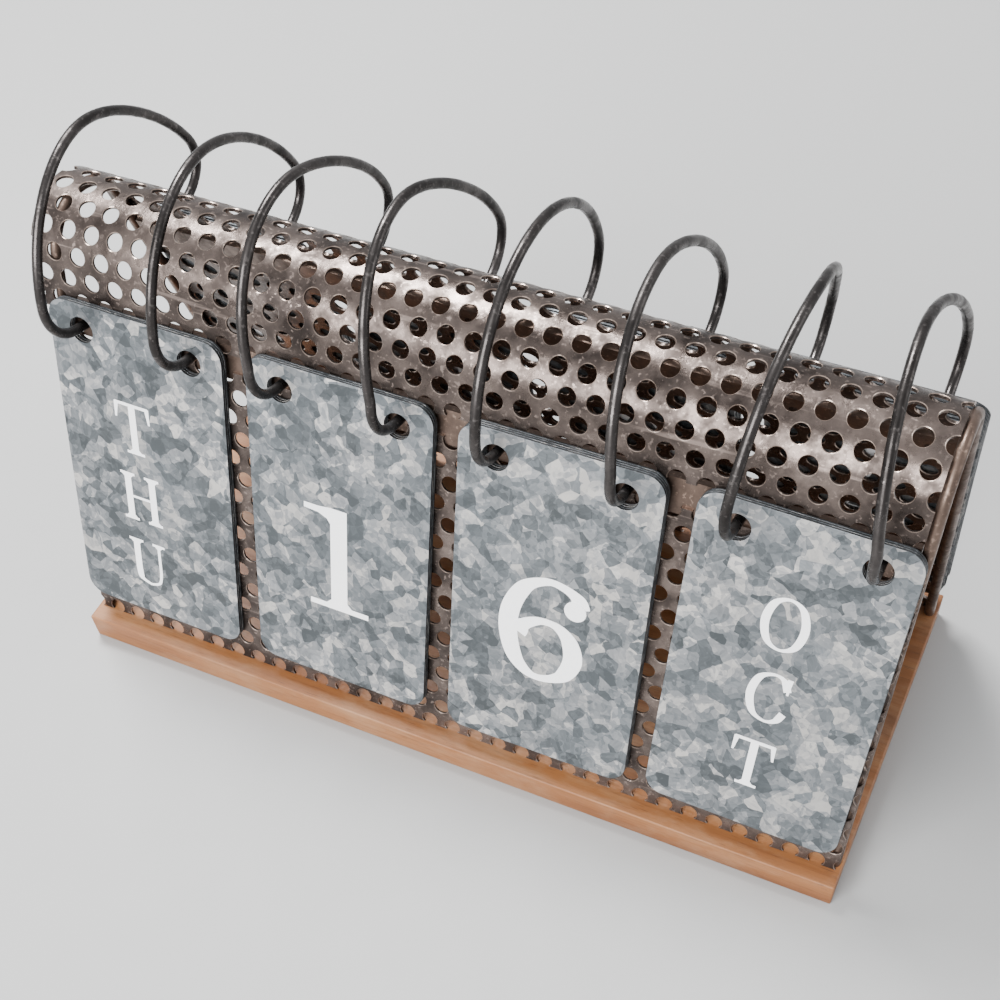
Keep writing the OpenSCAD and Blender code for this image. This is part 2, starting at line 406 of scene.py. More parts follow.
HOLE_SIDES = 24
RIM = 0.22 * MM            # width and depth of the eased edge round each hole, which carries a painted highlight
OUTER_FACE = 0
# Faces of this kind take the painted edge highlight.
RIM_FACE = 1
NEAR = 1e-8
SMALLEST_FACE = 1e-10

# Rows of holes: the first hole, in pitches from the middle of the base, and how many.
# Each sheet is laid out one row past its low and high edges, and the edges cut it.
HOOD_ODD_ROW = (-17, 34)
HOOD_EVEN_ROW = (-17.5, 35)
PANEL_ODD_ROW = (-16.5, 34)
PANEL_EVEN_ROW = (-16, 33)


def cell_reach(angle):
    """Distance from a hole's centre to the edge of its hexagonal cell."""
    turned = (angle + math.pi / 6) % (math.pi / 3) - math.pi / 6
    return HOLE_PITCH / 2 / math.cos(turned)


class SheetBuilder:
    """Builds a perforated sheet from hexagonal cells, then bends it into place.

    The flat pattern runs from left to right, and from low to high at the left end.
    Its high edge is lower by skew at the right end.
    """

    def __init__(self, left, right, low, high, bend, skew=0.0):
        self.left = left
        self.right = right
        self.low = low
        self.high = high
        self.bend = bend
        self.slope = skew / (right - left)
        self.numbers = {}
        self.points = []
        self.faces = []
        self.kinds = []

    def clamp(self, x, across):
        """Keeps a point of the flat pattern inside the sheet."""
        x = max(self.left, min(self.right, x))
        return x, max(self.low, min(self.top(x), across))

    def top(self, x):
        """The high edge of the flat pattern at x."""
        return self.high - self.slope * (x - self.left)

    def point(self, spot, depth):
        """The number of the vertex at a flat spot, depth below the outer face."""
        key = (round(spot[0], 7), round(spot[1], 7), round(depth, 7))
        if key not in self.numbers:
            self.numbers[key] = len(self.points)
            self.points.append(self.bend(spot[0], spot[1], depth))
        return self.numbers[key]

    def quad(self, spots, depths, kind):
        """A face over flat spots at the given depths, unless it has no area."""
        corners = []
        for spot, depth in zip(spots, depths):
            number = self.point(spot, depth)
            if number not in corners:
                corners.append(number)
        if len(corners) > 2:
            self.faces.append(corners)
            self.kinds.append(kind)

    def on_edge(self, first, second):
        """True if two flat spots both lie on the same edge of the sheet."""
        spots = (first, second)
        return (
            all(abs(x - self.left) < NEAR for x, _ in spots)
            or all(abs(x - self.right) < NEAR for x, _ in spots)
            or all(abs(across - self.low) < NEAR for _, across in spots)
            or all(abs(across - self.top(x)) < NEAR for x, across in spots)
        )

    def band(self, inner, outer):
        """One part of a cell on both faces, with the sheet's cut edge beside it."""
        flat = [*outer, inner[1], inner[0]]
        if abs(flat_area(flat)) < SMALLEST_FACE:
            return
        self.quad(flat, [0] * 4, OUTER_FACE)
        self.quad(flat[::-1], [SHEET_THICKNESS] * 4, OUTER_FACE)
        # The sheet's cut edge takes the painted edge highlight.
        for a, b in zip(flat, flat[1:] + flat[:1]):
            if a != b and self.on_edge(a, b):
                wall = [b, a, a, b]
                self.quad(wall, [0, 0, SHEET_THICKNESS, SHEET_THICKNESS], RIM_FACE)

    def hole_wall(self, rim, throat):
        """The eased edges and the wall of one part of a hole."""
        # The eased edges take the painted edge highlight; the wall between them keeps the patina.
        levels = (
            (rim, 0, throat, RIM, RIM_FACE),
            (throat, RIM, throat, SHEET_THICKNESS - RIM, OUTER_FACE),
            (throat, SHEET_THICKNESS - RIM, rim, SHEET_THICKNESS, RIM_FACE),
        )
        for top, top_depth, foot, foot_depth, kind in levels:
            spots = [top[0], top[1], foot[1], foot[0]]
            self.quad(spots, [top_depth, top_depth, foot_depth, foot_depth], kind)

    def hole(self, x, across):
        """One hole with the metal of its hexagonal cell."""
        rings = []
        for reach in (cell_reach, lambda a: HOLE_RADIUS + RIM, lambda a: HOLE_RADIUS):
            ring = []
            for i in range(HOLE_SIDES + 1):
                angle = 2 * math.pi * (i % HOLE_SIDES) / HOLE_SIDES
                radius = reach(angle)
                ring.append(
                    self.clamp(x + radius * math.cos(angle), across + radius * math.sin(angle))
                )
            rings.append(ring)
        cell, rim, throat = rings
        for i in range(HOLE_SIDES):
            self.band(rim[i : i + 2], cell[i : i + 2])
            if not self.on_edge(throat[i], throat[i + 1]):
                self.hole_wall(rim[i : i + 2], throat[i : i + 2])

    def row(self, across, first, count):
        """One row of holes. First is counted in pitches from the middle of the base."""
        for i in range(count):
            self.hole((first + i) * HOLE_PITCH, across)

    def mesh(self, name):
        """The finished mesh, with its normals turned outwards."""
        mesh = bpy.data.meshes.new(name)
        mesh.from_pydata(self.points, [], self.faces)
        mesh.materials.append(PATINA)
        mesh.materials.append(EDGE_HIGHLIGHT)
        mesh.polygons.foreach_set("material_index", self.kinds)
        shape = bmesh.new()
        shape.from_mesh(mesh)
        bmesh.ops.recalc_face_normals(shape, faces=shape.faces)
        shape.to_mesh(mesh)
        shape.free()
        smooth(mesh, 32)
        return mesh


def flat_area(spots):
    """Signed area of a flat polygon."""
    total = 0.0
    for (x0, y0), (x1, y1) in zip(spots, spots[1:] + spots[:1]):
        total += x0 * y1 - x1 * y0
    return total / 2


def bend_hood(x, arc, depth):
    """Wraps the flat hood pattern over the crown. Arc 0 is the ridge, + is the front."""
    side = FRONT if arc >= 0 else BACK
    if abs(arc) > CROWN_HALF_ARC:
        return slope_point(x, HOOD_TANGENT + CROWN_HALF_ARC - abs(arc), -depth, side)
    angle = arc / SHEET_MIDDLE
    radius = HOOD_RADIUS - depth
    return Vector((x, -radius * math.sin(angle), CROWN_Z + radius * math.cos(angle)))


def build_hood():
    """The perforated sheet bent over the top."""
    reach = CROWN_HALF_ARC + HOOD_TANGENT - HOOD_BOTTOM
    right = HOOD_LEFT + HOOD_LENGTH
    sheet = SheetBuilder(HOOD_LEFT, right, -reach, reach, bend_hood, HOOD_SKEW)
    for row in range(-HOOD_SIDE_ROWS - 1, HOOD_SIDE_ROWS + 2):
        sheet.row(row * ROW_PITCH, *(HOOD_ODD_ROW if row % 2 else HOOD_EVEN_ROW))
    link("hood_sheet", sheet.mesh("hood_mesh"), FRAME_BODY, ["arch_cover"])


def build_panel(name, node, side):
    """One flat lower panel."""
    half = PANEL_LENGTH / 2
    sheet = SheetBuilder(
        -half, half, PANEL_FOOT, PANEL_TOP, lambda x, up, depth: slope_point(x, up, -depth, side)
    )
    for row in range(-1, PANEL_ROWS + 1):
        station = PANEL_TOP_ROW - row * ROW_PITCH
        sheet.row(station, *(PANEL_ODD_ROW if row % 2 else PANEL_EVEN_ROW))
    link(name, sheet.mesh(name + "_mesh"), FRAME_BODY, [node])


# --------------------------------------------------------------------------
# Rods, rings and rails
# --------------------------------------------------------------------------


def arc_points(centre, radius, start, end, steps):
    """Points (y, z) along an arc, angles in radians above +Y."""
    points = []
    for i in range(steps + 1):
        angle = start + (end - start) * i / steps
        points.append(
            (centre[0] + radius * math.cos(angle), centre[1] + radius * math.sin(angle))
        )
    return points


def tube(name, points, diameter, material):
    """A round wire along a path."""
    curve = bpy.data.curves.new(name, "CURVE")
    curve.dimensions = "3D"
    curve.bevel_depth = diameter / 2
    curve.bevel_resolution = 6
    curve.use_fill_caps = True
    spline = curve.splines.new("POLY")
    spline.points.add(len(points) - 1)
    for spot, place in zip(spline.points, points):
        spot.co = (*place, 1.0)
    spline.use_smooth = True
    curve.materials.append(material)
    return curve


def heading(start, end):
    """Angle above +Y of the line from start to end."""
    return math.atan2(end[1] - start[1], end[0] - start[0])


# How each ring is bent out of true, from ring 1 to ring 8: turn about the vertical and
# lean to the side in degrees, then its depth and rise against the drawing. These values
# were fitted to the outlines of the real rings.
RING_BENDS = (
    (3.6, 2.6, 0.85, 1.09),
    (2.2, 1.8, 0.88, 1.06),
    (-4.5, -9.2, 0.88, 1.07),
    (-0.2, -9.9, 0.89, 1.14),
    (-2.1, -1.6, 0.99, 1.13),
    (-1.0, -6.7, 0.93, 1.12),
    (-3.4, 2.6, 1.00, 1.08),
    (1.5, -8.9, 0.97, 1.10),
)
BEND_KEPT = 0.42           # share of the wire that keeps its whole bend
BEND_GONE = 0.92           # share of the wire after which it is as drawn again


def bent_wire(x, arc, hook, bends):
    """The large arc and the back hook, bent out of true. The hook still ends as drawn."""
    turn, lean, depth, rise = bends
    turn, lean = math.radians(turn), math.radians(lean)
    y0, z0 = arc[0]
    drawn = arc + hook[1:]
    path = []
    for i, (y, z) in enumerate(drawn):
        along = i / (len(drawn) - 1)
        fade = max(0.0, min(1.0, (BEND_GONE - along) / (BEND_GONE - BEND_KEPT)))
        fade = fade * fade * (3 - 2 * fade)
        back, up = (y - y0) * depth, (z - z0) * rise
        bent = Vector((x - back * math.sin(turn) + up * math.sin(lean), y0 + back, z0 + up))
        path.append(Vector((x, y, z)).lerp(bent, fade))
    return path


def ring_path(x, bends):
    """The wire of one ring, from its front end to its back end."""
    bar = -(SHEET_THICKNESS + RAIL_THICKNESS)
    front = slope_point(x, WIRE_STATION + HOOK_RADIUS, FRONT_STUB).yz
    back = slope_point(x, WIRE_STATION + HOOK_RADIUS, BACK_STUB, BACK).yz
    gap = (back - front).length
    rise = math.sqrt((RING_RADIUS - HOOK_RADIUS) ** 2 - (gap / 2) ** 2)
    tilt = heading(front, back)
    middle = (front + back) / 2 + rise * Vector((math.sin(tilt), -math.cos(tilt)))
    front_join = heading(middle, front)
    back_join = heading(middle, back)
    front_hook = arc_points(front, HOOK_RADIUS, math.radians(270) - LEAN, front_join, 18)
    back_hook = arc_points(back, HOOK_RADIUS, back_join, LEAN - math.radians(90), 18)
    large = arc_points(middle, RING_RADIUS, front_join, back_join, 72)
    path = [slope_point(x, WIRE_STATION, bar)]
    path += [Vector((x, y, z)) for y, z in front_hook]
    path += bent_wire(x, large, back_hook, bends)[1:]
    path.append(slope_point(x, WIRE_STATION, bar, BACK))
    return path


def hoop_path(x):
    """The rod of one end hoop, from its front leg to its back leg."""
    out = -(SHEET_THICKNESS + HOOP_DIAMETER / 2)
    radius = HOOD_RADIUS + out
    crown = arc_points((0, CROWN_Z), radius, math.pi - LEAN, LEAN, 32)
    path = [slope_point(x, -HOOP_PLUG, out)]
    path += [Vector((x, y, z)) for y, z in crown]
    path.append(slope_point(x, -HOOP_PLUG, out, BACK))
    return path


def stack_x(stack):
    """Middle of a stack along X."""
    return (stack - 1.5) * STACK_PITCH


def build_wires():
    """The eight rings and the two end hoops."""
    for number, bends in enumerate(RING_BENDS, start=1):
        hand = -1 if number % 2 else 1
        x = stack_x((number - 1) // 2) + hand * RING_SPREAD
        curve = tube(f"wire_{number}", ring_path(x, bends), RING_WIRE, WIRE)
        link(f"wire_ring_{number}", curve, FRAME_BODY, [f"ring_{number}"])
    for name, x in (("left", -HOOP_OFFSET), ("right", HOOP_OFFSET)):
        curve = tube(f"rod_{name}", hoop_path(x), HOOP_DIAMETER, BROWN)
        link(f"rod_hoop_{name}", curve, FRAME_BODY, [f"end_hoop_{name}"])


def finish_rails():
    """The CAD rails keep their shape and get their finish."""
    for name in ("front_rail", "back_rail"):
        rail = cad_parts[name]
        rail.data.materials.clear()
        rail.data.materials.append(BROWN)


# --------------------------------------------------------------------------
# Cards
# --------------------------------------------------------------------------

CORNER_STEPS = 10
CARD_HOLE_STEPS = 40
CARD_BEVEL = 0.12 * MM
CARD_SWAY = (-0.7, -0.6, 0.0, -0.9)    # degrees that the cards on the front hang out of true
SLID_STACK = (3, BACK)                 # the stack that has slid along its rings
CARD_SLIDE = 1.2 * MM


def card_outline():
    """The card's rounded outline, anticlockwise about its centre."""
    outline = []
    half = (CARD_WIDTH / 2 - CARD_CORNER, CARD_HEIGHT / 2 - CARD_CORNER)
    for corner, (across, up) in enumerate(((1, 1), (-1, 1), (-1, -1), (1, -1))):
        start = corner * math.pi / 2
        outline += arc_points(
            (across * half[0], up * half[1]), CARD_CORNER, start, start + math.pi / 2, CORNER_STEPS
        )
    return outline


def add_loop(curve, points):
    """A closed outline in a flat curve."""
    spline = curve.splines.new("POLY")
    spline.points.add(len(points) - 1)
    for spot, (x, y) in zip(spline.points, points):
        spot.co = (x, y, 0.0, 1.0)
    spline.use_cyclic_u = True


def card_mesh():
    """A blank card: a flat plate with two ring holes and eased edges."""
    curve = bpy.data.curves.new("card_outline", "CURVE")
    curve.dimensions = "2D"
    curve.fill_mode = "BOTH"
    curve.extrude = CARD_THICKNESS / 2 - CARD_BEVEL
    curve.bevel_depth = CARD_BEVEL
    curve.bevel_resolution = 2
    curve.offset = -CARD_BEVEL
    add_loop(curve, card_outline())
    for hand in (-1, 1):
        centre = (
            hand * (CARD_WIDTH / 2 - CARD_HOLE_INSET),
            CARD_HEIGHT / 2 - CARD_HOLE_DROP,
        )
        add_loop(curve, arc_points(centre, CARD_HOLE / 2, 2 * math.pi, 0, CARD_HOLE_STEPS)[:-1])
    maker = bpy.data.objects.new("card_maker", curve)
    mesh = bpy.data.meshes.new_from_object(maker)
    bpy.data.objects.remove(maker)
    mesh.name = "card_mesh"
    mesh.materials.clear()
    mesh.materials.append(ZINC)
    mesh.materials.append(CARD_EDGE)
    for face in mesh.polygons:
        face.material_index = 0 if abs(face.normal.z) > 0.95 else 1
    smooth(mesh, 30)
    return mesh


def card_placement(stack, side, layer):
    """Where a card hangs: local X across, Y up the card, Z out of its printed face."""
    out = FIRST_LAYER + layer * CARD_PITCH
    slide = CARD_SLIDE if (stack, side) == SLID_STACK else 0.0
    centre = slope_point(stack_x(stack) + slide, CARD_TOP - CARD_HEIGHT / 2, out, side)
    up = Vector((0, side * math.sin(LEAN), math.cos(LEAN)))
    across = Vector((1, 0, 0))
    face = across.cross(up)
    place = Matrix((across, up, face)).transposed().to_4x4()
    sway = math.radians(CARD_SWAY[stack] if side == FRONT else random.uniform(-0.3, 0.3))
    place.translation = centre
    return place @ about_top(sway)


def about_top(angle):
    """A small turn of a card in its own plane, about the middle of its ring holes."""
    pivot = Vector((0, CARD_HEIGHT / 2 - CARD_HOLE_DROP, 0))
    turn = Matrix.Rotation(angle, 4, "Z")
    return Matrix.Translation(pivot) @ turn @ Matrix.Translation(-pivot)


# --------------------------------------------------------------------------
# Print: a plain serif alphabet drawn with stems, bars, diagonals and curves.
# Cap height is 1, and each glyph's left edge is near 0.
# --------------------------------------------------------------------------

STEM = 0.135
HAIR = 0.05
SLAB = 0.052
BALL = 0.075
CURVE_STEPS = 9


def box_shape(x0, x1, y0, y1):
    """A rectangle, as a list of one outline. All the strokes below are such lists."""
    return [[(x0, y0), (x1, y0), (x1, y1), (x0, y1)]]


def stem(x, y0=0.0, y1=1.0, width=STEM):
    """An upright stroke about x."""
    return box_shape(x - width / 2, x + width / 2, y0, y1)


def bar(x0, x1, y, height=HAIR):
    """A level stroke about y."""
    return box_shape(x0, x1, y - height / 2, y + height / 2)


def serif(x, y, half=0.15, width=STEM):
    """A slab serif with soft brackets at the foot (y 0) or the head (y 1) of a stem."""
    inward = 1 if y < 0.5 else -1
    slab = y + inward * SLAB
    reach = y + inward * (SLAB + 0.05)
    ends = sorted((y, slab))
    bracket = [
        (x - width / 2 - 0.05, slab),
        (x + width / 2 + 0.05, slab),
        (x + width / 2, reach),
        (x - width / 2, reach),
    ]
    return [*box_shape(x - half, x + half, *ends), bracket]


def diagonal(x0, y0, x1, y1, width):
    """A straight slanted stroke, as wide as width measured along x."""
    half = width / 2
    return [[(x0 - half, y0), (x0 + half, y0), (x1 + half, y1), (x1 - half, y1)]]


def ball(x, y, radius=BALL):
    """The round end of a stroke."""
    return [arc_points((x, y), radius, 0, 2 * math.pi, 20)[:-1]]


def beak(x, y0, y1, lean=0.0):
    """The tapered tip of an arm, broad at y0 and thin at y1."""
    return [[(x - 0.045, y0), (x + 0.045, y0), (x + lean + 0.018, y1), (x + lean - 0.018, y1)]]


def spline_path(points, closed):
    """A smooth path through the points."""
    count = len(points)
    path = []
    for i in range(count if closed else count - 1):
        if closed:
            p0, p1, p2, p3 = (points[(i + k) % count] for k in (-1, 0, 1, 2))
        else:
            p0, p1, p2, p3 = (points[max(0, min(count - 1, i + k))] for k in (-1, 0, 1, 2))
        for step in range(CURVE_STEPS):
            t = step / CURVE_STEPS
            path.append(
                tuple(
                    0.5
                    * (
                        2 * b
                        + (c - a) * t
                        + (2 * a - 5 * b + 4 * c - d) * t * t
                        + (3 * b - a - 3 * c + d) * t**3
                    )
                    for a, b, c, d in zip(p0, p1, p2, p3)
                )
            )
    if not closed:
        path.append(points[-1])
    return path


def pen(points, thick=STEM, thin=HAIR, closed=False):
    """A curved stroke that is thick where it runs up or down, and thin where it runs across."""
    path = spline_path(points, closed)
    count = len(path)
    sides = []
    for i, (x, y) in enumerate(path):
        before = path[(i - 1) % count] if closed else path[max(0, i - 1)]
        after = path[(i + 1) % count] if closed else path[min(count - 1, i + 1)]
        dx, dy = after[0] - before[0], after[1] - before[1]
        length = math.hypot(dx, dy)
        dx, dy = dx / length, dy / length
        half = (thin + (thick - thin) * dy * dy) / 2
        sides.append(((x - dy * half, y + dx * half), (x + dy * half, y - dx * half)))
    pairs = list(zip(sides, sides[1:] + sides[:1])) if closed else list(zip(sides, sides[1:]))
    return [[a[0], b[0], b[1], a[1]] for a, b in pairs]


def half_turned(shapes, width):
    """The same shapes turned upside down."""
    return [[(width - x, 1 - y) for x, y in shape] for shape in shapes]


BIG_BOWL = ((0.66, 0.72), (0.57, 0.92), (0.40, 0.975), (0.19, 0.85), (0.10, 0.5), (0.19, 0.15))
C_STROKE = (*BIG_BOWL, (0.40, 0.025), (0.58, 0.09), (0.67, 0.27))
SIX_STROKE = (
    (0.665, 0.80), (0.62, 0.90), (0.50, 0.96), (0.37, 0.965), (0.21, 0.87), (0.105, 0.66),
    (0.085, 0.42), (0.15, 0.18), (0.27, 0.05), (0.40, 0.03), (0.56, 0.11), (0.64, 0.29),
    (0.60, 0.47), (0.49, 0.575), (0.35, 0.585), (0.22, 0.51), (0.17, 0.42),
)

GLYPHS = {
    "A": (0.78, diagonal(0.11, 0, 0.36, 1, HAIR) + diagonal(0.66, 0, 0.40, 1, 0.15)
          + bar(0.2, 0.58, 0.33) + serif(0.11, 0, 0.12, HAIR) + serif(0.66, 0, 0.14)),
    "B": (0.70, stem(0.18) + bar(0.03, 0.3, 0.975) + bar(0.03, 0.3, 0.025)
          + pen(((0.2, 0.975), (0.42, 0.965), (0.55, 0.76), (0.42, 0.54), (0.2, 0.52)))
          + pen(((0.2, 0.52), (0.44, 0.51), (0.61, 0.27), (0.44, 0.035), (0.2, 0.025)))),
    "C": (0.74, pen(C_STROKE) + beak(0.665, 0.97, 0.66)),
    "D": (0.82, stem(0.18) + bar(0.03, 0.3, 0.975) + bar(0.03, 0.3, 0.025)
          + pen(((0.2, 0.975), (0.45, 0.96), (0.68, 0.8), (0.73, 0.5), (0.68, 0.2),
                 (0.45, 0.04), (0.2, 0.025)))),
    "E": (0.72, stem(0.18) + bar(0.03, 0.64, 0.975) + bar(0.18, 0.46, 0.5) + bar(0.03, 0.67, 0.025)
          + beak(0.615, 0.99, 0.72, 0.02) + beak(0.46, 0.5, 0.62) + beak(0.46, 0.5, 0.38)
          + beak(0.64, 0.01, 0.3, 0.03)),
    "F": (0.68, stem(0.18) + serif(0.18, 0, 0.16) + bar(0.03, 0.62, 0.975) + bar(0.18, 0.46, 0.5)
          + beak(0.6, 0.99, 0.7, 0.02) + beak(0.46, 0.5, 0.62) + beak(0.46, 0.5, 0.38)),
    "G": (0.80, pen(C_STROKE[:-1]) + beak(0.645, 0.97, 0.66) + stem(0.64, 0.05, 0.42)
          + bar(0.48, 0.78, 0.42)),
    "H": (0.86, stem(0.18) + stem(0.68) + bar(0.18, 0.68, 0.51) + serif(0.18, 0) + serif(0.18, 1)
          + serif(0.68, 0) + serif(0.68, 1)),
    "I": (0.38, stem(0.19) + serif(0.19, 0) + serif(0.19, 1)),
    "J": (0.56, stem(0.38, 0.24) + serif(0.38, 1)
          + pen(((0.38, 0.26), (0.35, 0.09), (0.22, 0.025), (0.12, 0.09))) + ball(0.13, 0.15)),
    "L": (0.68, stem(0.18) + serif(0.18, 1) + bar(0.03, 0.62, 0.025) + beak(0.61, 0.01, 0.33, 0.02)),
    "M": (0.98, stem(0.14, width=HAIR) + stem(0.83) + diagonal(0.14, 1, 0.46, 0.02, 0.15)
          + diagonal(0.82, 1, 0.5, 0.02, HAIR) + serif(0.14, 0, 0.12, HAIR)
          + serif(0.12, 1, 0.12, HAIR) + serif(0.83, 0) + serif(0.84, 1, 0.13)),
    "N": (0.84, stem(0.14, width=HAIR) + stem(0.70, width=HAIR) + diagonal(0.15, 1, 0.68, 0, 0.16)
          + serif(0.14, 0, 0.12, HAIR) + serif(0.12, 1, 0.12, HAIR) + serif(0.70, 1, 0.12, HAIR)),
    "O": (0.82, pen(((0.10, 0.5), (0.19, 0.15), (0.41, 0.025), (0.63, 0.15), (0.72, 0.5),
                     (0.63, 0.85), (0.41, 0.975), (0.19, 0.85)), closed=True)),
    "P": (0.68, stem(0.18) + serif(0.18, 0, 0.16) + bar(0.03, 0.3, 0.975)
          + pen(((0.2, 0.975), (0.44, 0.96), (0.60, 0.72), (0.44, 0.485), (0.2, 0.47)))),
    "R": (0.80, stem(0.18) + serif(0.18, 0) + bar(0.03, 0.3, 0.975)
          + pen(((0.2, 0.975), (0.44, 0.96), (0.58, 0.75), (0.44, 0.525), (0.2, 0.51)))
          + pen(((0.38, 0.51), (0.55, 0.42), (0.59, 0.18), (0.68, 0.04), (0.77, 0.08)))),
    "S": (0.66, pen(((0.54, 0.76), (0.47, 0.93), (0.31, 0.975), (0.15, 0.88), (0.14, 0.70),
                     (0.31, 0.55), (0.50, 0.42), (0.55, 0.22), (0.44, 0.06), (0.28, 0.025),
                     (0.14, 0.10), (0.08, 0.28)), thin=0.08)
          + beak(0.545, 0.98, 0.70) + beak(0.09, 0.02, 0.32)),
    "T": (0.72, stem(0.36) + serif(0.36, 0, 0.18) + bar(0.03, 0.69, 0.97, 0.06)
          + beak(0.055, 0.99, 0.68, -0.03) + beak(0.665, 0.99, 0.68, 0.03)),
    "U": (0.84, stem(0.19, 0.34) + stem(0.67, 0.34, width=0.06) + serif(0.19, 1)
          + serif(0.67, 1, 0.13, 0.06)
          + pen(((0.19, 0.36), (0.23, 0.12), (0.43, 0.03)))
          + pen(((0.43, 0.03), (0.62, 0.12), (0.67, 0.36)), thick=0.06)),
    "V": (0.78, diagonal(0.12, 1, 0.38, 0, 0.15) + diagonal(0.66, 1, 0.41, 0, HAIR)
          + serif(0.12, 1, 0.14) + serif(0.66, 1, 0.12, HAIR)),
    "W": (1.10, diagonal(0.11, 1, 0.33, 0, 0.15) + diagonal(0.54, 1, 0.35, 0, HAIR)
          + diagonal(0.54, 1, 0.74, 0, 0.15) + diagonal(0.98, 1, 0.76, 0, HAIR)
          + serif(0.11, 1, 0.14) + serif(0.54, 1, 0.13) + serif(0.98, 1, 0.11, HAIR)),
    "Y": (0.78, diagonal(0.12, 1, 0.37, 0.44, 0.15) + diagonal(0.66, 1, 0.41, 0.44, HAIR)
          + stem(0.39, 0, 0.48) + serif(0.39, 0, 0.17) + serif(0.12, 1, 0.14)
          + serif(0.66, 1, 0.11, HAIR)),
    "0": (0.66, pen(((0.09, 0.5), (0.16, 0.14), (0.33, 0.025), (0.50, 0.14), (0.57, 0.5),
                     (0.50, 0.86), (0.33, 0.975), (0.16, 0.86)), closed=True)),
    "1": (0.60, stem(0.33, 0, 1.0, 0.15) + serif(0.33, 0, 0.27)
          + [[(0.02, 0.985), (0.02, 0.935), (0.15, 0.925), (0.225, 0.89), (0.26, 0.84),
              (0.26, 1.0), (0.15, 0.985)]]),
    "2": (0.66, ball(0.14, 0.77) + pen(((0.10, 0.80), (0.18, 0.94), (0.34, 0.975), (0.52, 0.90),
                                       (0.54, 0.70), (0.40, 0.46), (0.20, 0.24), (0.08, 0.05)))
          + bar(0.05, 0.57, 0.055, 0.11) + beak(0.585, 0.01, 0.28, 0.015)),
    "3": (0.66, ball(0.14, 0.79) + ball(0.13, 0.21)
          + pen(((0.10, 0.82), (0.18, 0.945), (0.33, 0.975), (0.50, 0.89), (0.50, 0.67),
                 (0.36, 0.55), (0.24, 0.53)))
          + pen(((0.24, 0.53), (0.42, 0.51), (0.56, 0.40), (0.57, 0.18), (0.44, 0.05),
                 (0.30, 0.025), (0.16, 0.06), (0.09, 0.18)))),
    "4": (0.70, diagonal(0.07, 0.29, 0.45, 1, 0.055) + bar(0.04, 0.68, 0.275, 0.055)
          + stem(0.47) + serif(0.47, 0, 0.17)),
    "5": (0.66, ball(0.14, 0.21) + stem(0.135, 0.5, 0.93, 0.045) + bar(0.113, 0.55, 0.93, 0.11)
          + pen(((0.135, 0.51), (0.31, 0.60), (0.50, 0.52), (0.57, 0.31), (0.50, 0.10),
                 (0.32, 0.025), (0.17, 0.06), (0.09, 0.18)))),
    "6": (0.73, pen(SIX_STROKE, 0.16, 0.06) + ball(0.62, 0.775, 0.09)),
    "7": (0.64, bar(0.09, 0.59, 0.93, 0.12) + beak(0.095, 0.99, 0.70, -0.015)
          + pen(((0.57, 0.92), (0.42, 0.62), (0.31, 0.32), (0.29, 0.0)), 0.14, 0.06)),
    "8": (0.66, pen(((0.15, 0.76), (0.20, 0.60), (0.33, 0.54), (0.46, 0.60), (0.51, 0.76),
                     (0.46, 0.91), (0.33, 0.975), (0.20, 0.91)), 0.115, closed=True)
          + pen(((0.10, 0.28), (0.16, 0.09), (0.33, 0.025), (0.50, 0.09), (0.56, 0.28),
                 (0.50, 0.46), (0.33, 0.54), (0.16, 0.46)), closed=True)),
    "9": (0.73, half_turned(pen(SIX_STROKE, 0.16, 0.06) + ball(0.62, 0.775, 0.09), 0.73)),
}

PRINT_HEIGHT = 0.04 * MM
PRINT_STEP = 0.0002 * MM    # keeps strokes that overlap from lying in one plane
LETTER_HEIGHT = 21 * MM
LETTER_PITCH = 30 * MM
NUMERAL_HEIGHT = 44.5 * MM

# Middle of the print on each kind of card: (across, up the slope from the foot).
PRINT_MIDDLE = {
    "weekday": (-4.5 * MM, 64.0 * MM),
    "tens": (-1.5 * MM, 65.5 * MM),
    "units": (-1.0 * MM, 66.5 * MM),
    "month": (-0.5 * MM, 69.0 * MM),
}


def print_mesh(name, text, kind):
    """The print of one card, in the card's own axes: letters one under another."""
    height = LETTER_HEIGHT if len(text) > 1 else NUMERAL_HEIGHT
    across, station = PRINT_MIDDLE[kind]
    middle = station - (CARD_TOP - CARD_HEIGHT / 2)
    face = CARD_THICKNESS / 2
    points, faces = [], []
    for i, letter in enumerate(text):
        width, shapes = GLYPHS[letter]
        foot = middle + ((len(text) - 1) / 2 - i) * LETTER_PITCH - height / 2
        left = across - width * height / 2
        for shape in shapes:
            first = len(points)
            count = len(shape)
            top_level = face + PRINT_HEIGHT + len(faces) * PRINT_STEP
            for level in (face, top_level):
                points += [(left + x * height, foot + y * height, level) for x, y in shape]
            top = list(range(first + count, first + 2 * count))
            faces.append(top if flat_area(shape) > 0 else top[::-1])
            for k in range(count):
                after = (k + 1) % count
                faces.append(
                    [first + k, first + after, first + count + after, first + count + k]
                )
    mesh = bpy.data.meshes.new(name)
    mesh.from_pydata(points, [], faces)
    mesh.materials.append(PRINT)
    return mesh


def build_cards():
    """Every card with its print, hung in its stack."""
    plate = card_mesh()
    for stack, (kind, front_cards, back_cards) in enumerate(STACKS):
        for side, cards in ((FRONT, front_cards), (BACK, back_cards)):
            for layer, label in enumerate(cards):
                node = f"{kind}_{label}"
                place = card_placement(stack, side, layer)
                link(f"card_{node}", plate, node, [node], place)
                letters = print_mesh(node, label.upper(), kind)
                link(f"print_{node}", letters, node, place=place)


# --------------------------------------------------------------------------
# Floor, light and camera
# --------------------------------------------------------------------------

CAMERA_PLACE = (0.17505, -0.31129, 0.47513)
CAMERA_RIGHT = (0.9065, 0.4182, -0.0576)
CAMERA_UP = (-0.3169, 0.7643, 0.5616)
FOCAL_LENGTH = 52.29
SHIFT = (-0.0148, 0.1886)


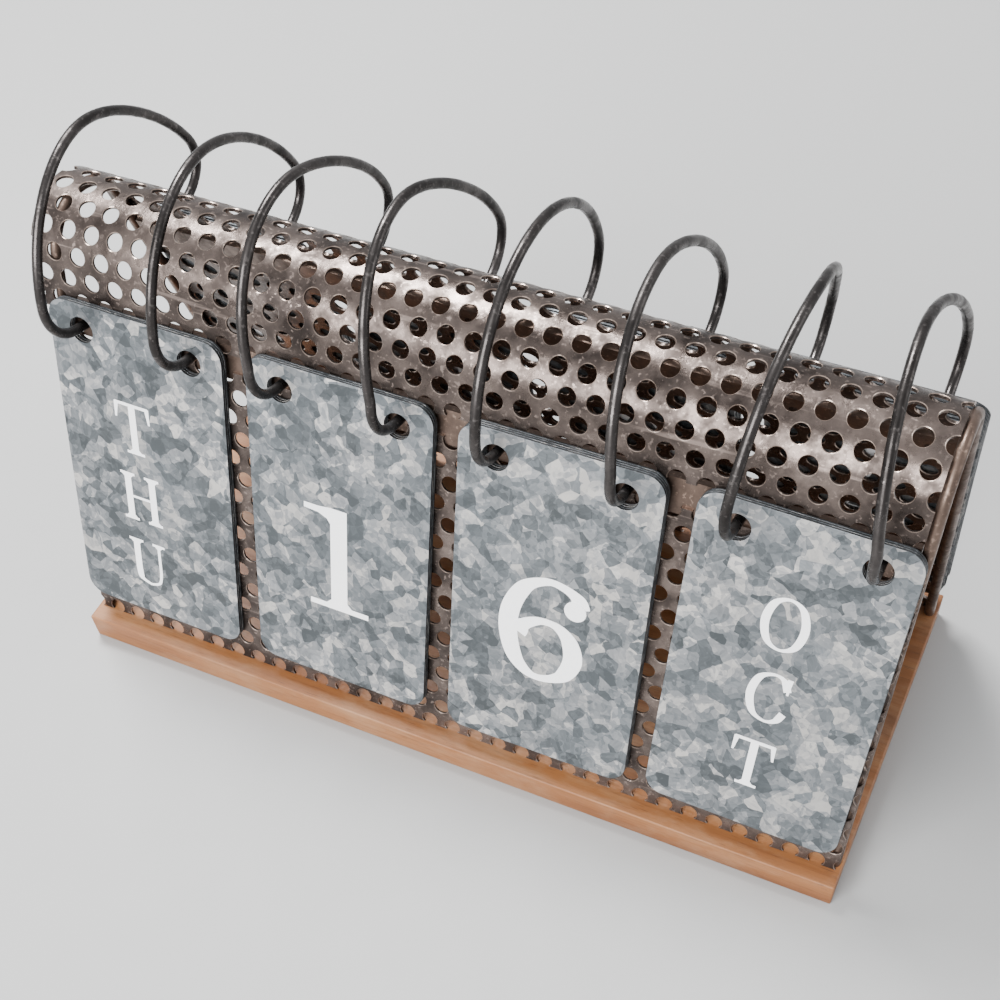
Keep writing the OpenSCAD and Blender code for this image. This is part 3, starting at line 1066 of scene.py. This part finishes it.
def build_floor():
    """A pale desk top."""
    shader = Shader("pale_floor")
    tone = shader.mix(shader.noise(3.0, 3.0), (0.35, 0.35, 0.35, 1.0), (0.375, 0.375, 0.37, 1.0))
    material = shader.finish(tone, shader.span(shader.noise(40.0), 0.6, 0.75))
    mesh = bpy.data.meshes.new("floor_mesh")
    reach = 4.0
    corners = [(-reach, -reach, 0), (reach, -reach, 0), (reach, reach, 0), (-reach, reach, 0)]
    mesh.from_pydata(corners, [], [(0, 1, 2, 3)])
    mesh.materials.append(material)
    floor = bpy.data.objects.new("floor", mesh)
    bpy.context.scene.collection.objects.link(floor)


def add_light(name, place, target, size, energy):
    """A square soft light aimed at a point."""
    light = bpy.data.lights.new(name, "AREA")
    light.size = size
    light.energy = energy
    lamp = bpy.data.objects.new(name, light)
    lamp.location = place
    aim = Vector(target) - Vector(place)
    lamp.rotation_euler = aim.to_track_quat("-Z", "Y").to_euler()
    bpy.context.scene.collection.objects.link(lamp)


def build_light():
    """One large key from the upper left behind, and soft fill all round."""
    middle = (0, 0, 0.09)
    add_light("key", (-0.60, 0.45, 1.40), middle, 0.5, 58)
    add_light("front_fill", (-0.35, -1.45, 0.95), middle, 1.2, 73)
    add_light("right_fill", (1.4, 0.3, 0.7), middle, 1.0, 9)
    world = bpy.data.worlds.new("studio")
    world.use_nodes = True
    sky = world.node_tree.nodes["Background"]
    sky.inputs["Color"].default_value = (0.90, 0.92, 0.95, 1.0)
    sky.inputs["Strength"].default_value = 0.84
    bpy.context.scene.world = world


def build_camera():
    """The camera at the photographed angle."""
    data = bpy.data.cameras.new("camera")
    data.sensor_width = 36
    data.lens = FOCAL_LENGTH
    data.shift_x, data.shift_y = SHIFT
    right, up = Vector(CAMERA_RIGHT), Vector(CAMERA_UP)
    place = Matrix((right, up, right.cross(up))).transposed().to_4x4()
    place.translation = CAMERA_PLACE
    camera = bpy.data.objects.new("camera", data)
    camera.matrix_world = place
    bpy.context.scene.collection.objects.link(camera)
    bpy.context.scene.camera = camera


build_camera()
build_base()
build_hood()
build_panel("front_sheet", "front_panel", FRONT)
build_panel("back_sheet", "back_panel", BACK)
build_wires()
finish_rails()
build_cards()
build_floor()
build_light()
